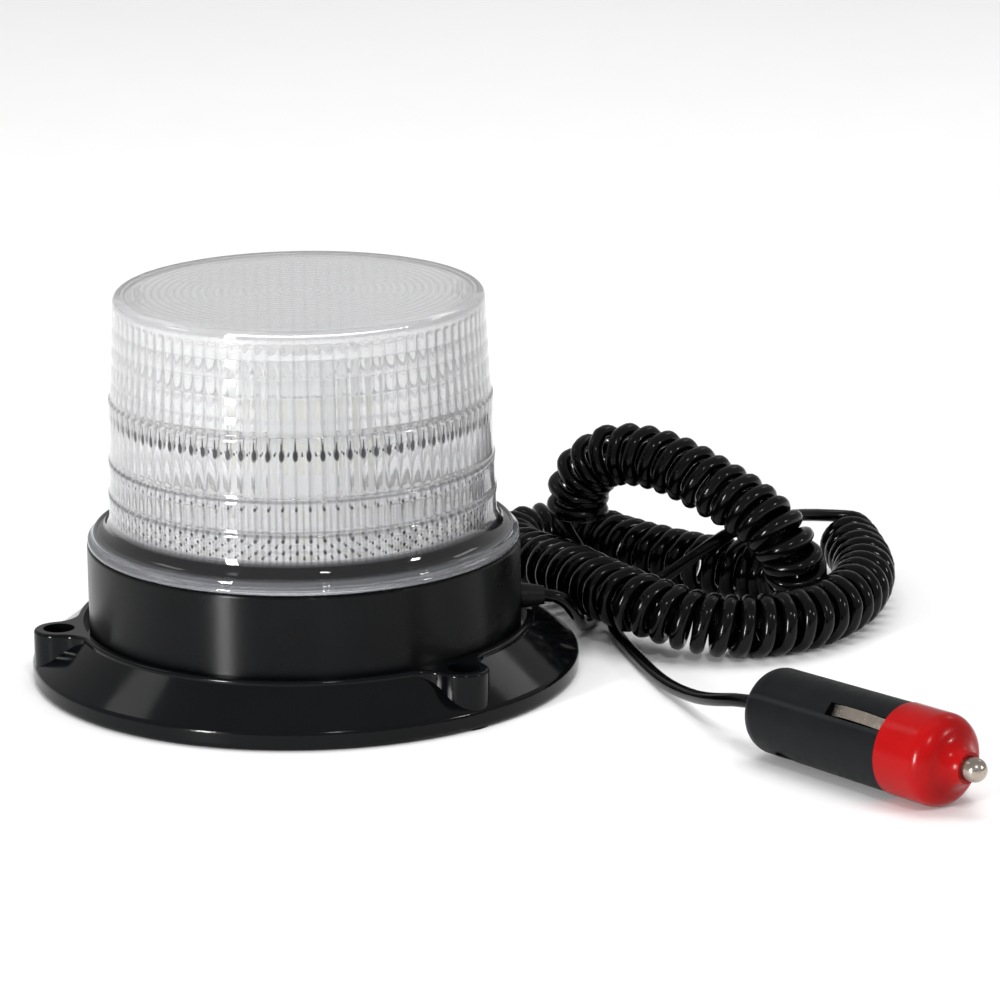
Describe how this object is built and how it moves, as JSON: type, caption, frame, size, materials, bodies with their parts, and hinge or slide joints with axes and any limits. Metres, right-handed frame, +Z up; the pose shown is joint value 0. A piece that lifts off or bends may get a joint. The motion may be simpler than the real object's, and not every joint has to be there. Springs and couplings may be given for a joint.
{
  "type": "LED warning beacon",
  "caption": "Round vehicle warning beacon with a ribbed clear lens, a black flanged base and a curly lead to a lighter plug.",
  "frame": {"origin": "middle of the base's underside, on the surface the beacon stands on", "axes": "+Z up through the lens; +X towards the side where the cord leaves the drum; the picture looks roughly along +Y"},
  "size_m": [0.2218, 0.2262, 0.0966],
  "materials": {
    "housing_black": "gloss",
    "lens_clear": "gloss",
    "seal_rubber": "matte",
    "steel_zinc": "satin",
    "magnet_ferrite": "matte",
    "aluminium_sink": "satin",
    "board_white": "satin",
    "board_green": "satin",
    "led_yellow": "gloss",
    "part_black": "matte",
    "part_copper": "satin",
    "terminal_green": "satin",
    "cord_black": "gloss",
    "plug_charcoal": "matte",
    "nose_red": "gloss",
    "contact_nickel": "polished",
    "fuse_glass": "gloss"
  },
  "bodies": {
    "beacon": {"flange_base": "housing_black", "drum_housing": "housing_black", "housing_screws": "steel_zinc", "magnet_cup": "steel_zinc", "magnet_ring": "magnet_ferrite", "rubber_pad": "seal_rubber", "magnet_screw": "steel_zinc", "magnet_nut": "steel_zinc", "lens_gasket": "seal_rubber", "heat_sink": "aluminium_sink", "led_board": "board_white", "board_leds": "led_yellow", "board_screws": "steel_zinc", "tower_core": "aluminium_sink", "tower_boards": "board_white", "tower_leds": "led_yellow", "tower_cap": "board_white", "tower_screw": "steel_zinc", "board_standoffs": "steel_zinc", "driver_board": "board_green", "driver_screws": "steel_zinc", "capacitor": "part_black", "inductor": "part_copper", "regulator": "part_black", "terminal_block": "terminal_green", "led_wires": "cord_black", "cable_gland": "seal_rubber", "cord_lead": "cord_black", "cord_coil": "cord_black", "cord_tail": "cord_black", "input_wires": "cord_black", "plug_shell_upper": "plug_charcoal", "plug_shell_lower": "plug_charcoal", "plug_screw": "steel_zinc", "plug_bushing": "seal_rubber", "plug_wires": "cord_black", "spring_seat": "contact_nickel", "plug_spring": "contact_nickel"},
    "lens_cover": {"lens": "lens_clear"},
    "nose_cap": {"plug_nose": "nose_red"},
    "tip_fuse": {"plug_tip": "contact_nickel", "fuse_glass": "fuse_glass", "fuse_caps": "contact_nickel"},
    "contact_near": {"side_contact_near": "contact_nickel"},
    "contact_far": {"side_contact_far": "contact_nickel"}
  },
  "joints": [
    {"name": "lens_turn", "type": "hinge", "parent": "beacon", "child": "lens_cover", "pos_m": [0, 0, 0.0342], "axis": [0, 0, 1], "range_deg": [0, 30]},
    {"name": "nose_turn", "type": "hinge", "parent": "beacon", "child": "nose_cap", "pos_m": [0.13974, -0.1136, 0.0111], "axis": [0.6428, -0.766, 0], "range_deg": [0, 360]},
    {"name": "tip_press", "type": "slide", "parent": "beacon", "child": "tip_fuse", "axis": [-0.6428, 0.766, 0], "range_m": [0, 0.0024], "stiffness_N_per_m": 900, "springref_m": -0.001, "deforming": ["plug_spring"]},
    {"name": "near_press", "type": "slide", "parent": "beacon", "child": "contact_near", "axis": [0.6425, 0.5391, -0.5446], "range_m": [0, 0.0008], "stiffness_N_per_m": 1500, "springref_m": -0.0005},
    {"name": "far_press", "type": "slide", "parent": "beacon", "child": "contact_far", "axis": [-0.6425, -0.5391, 0.5446], "range_m": [0, 0.0008], "stiffness_N_per_m": 1500, "springref_m": -0.0005}
  ]
}
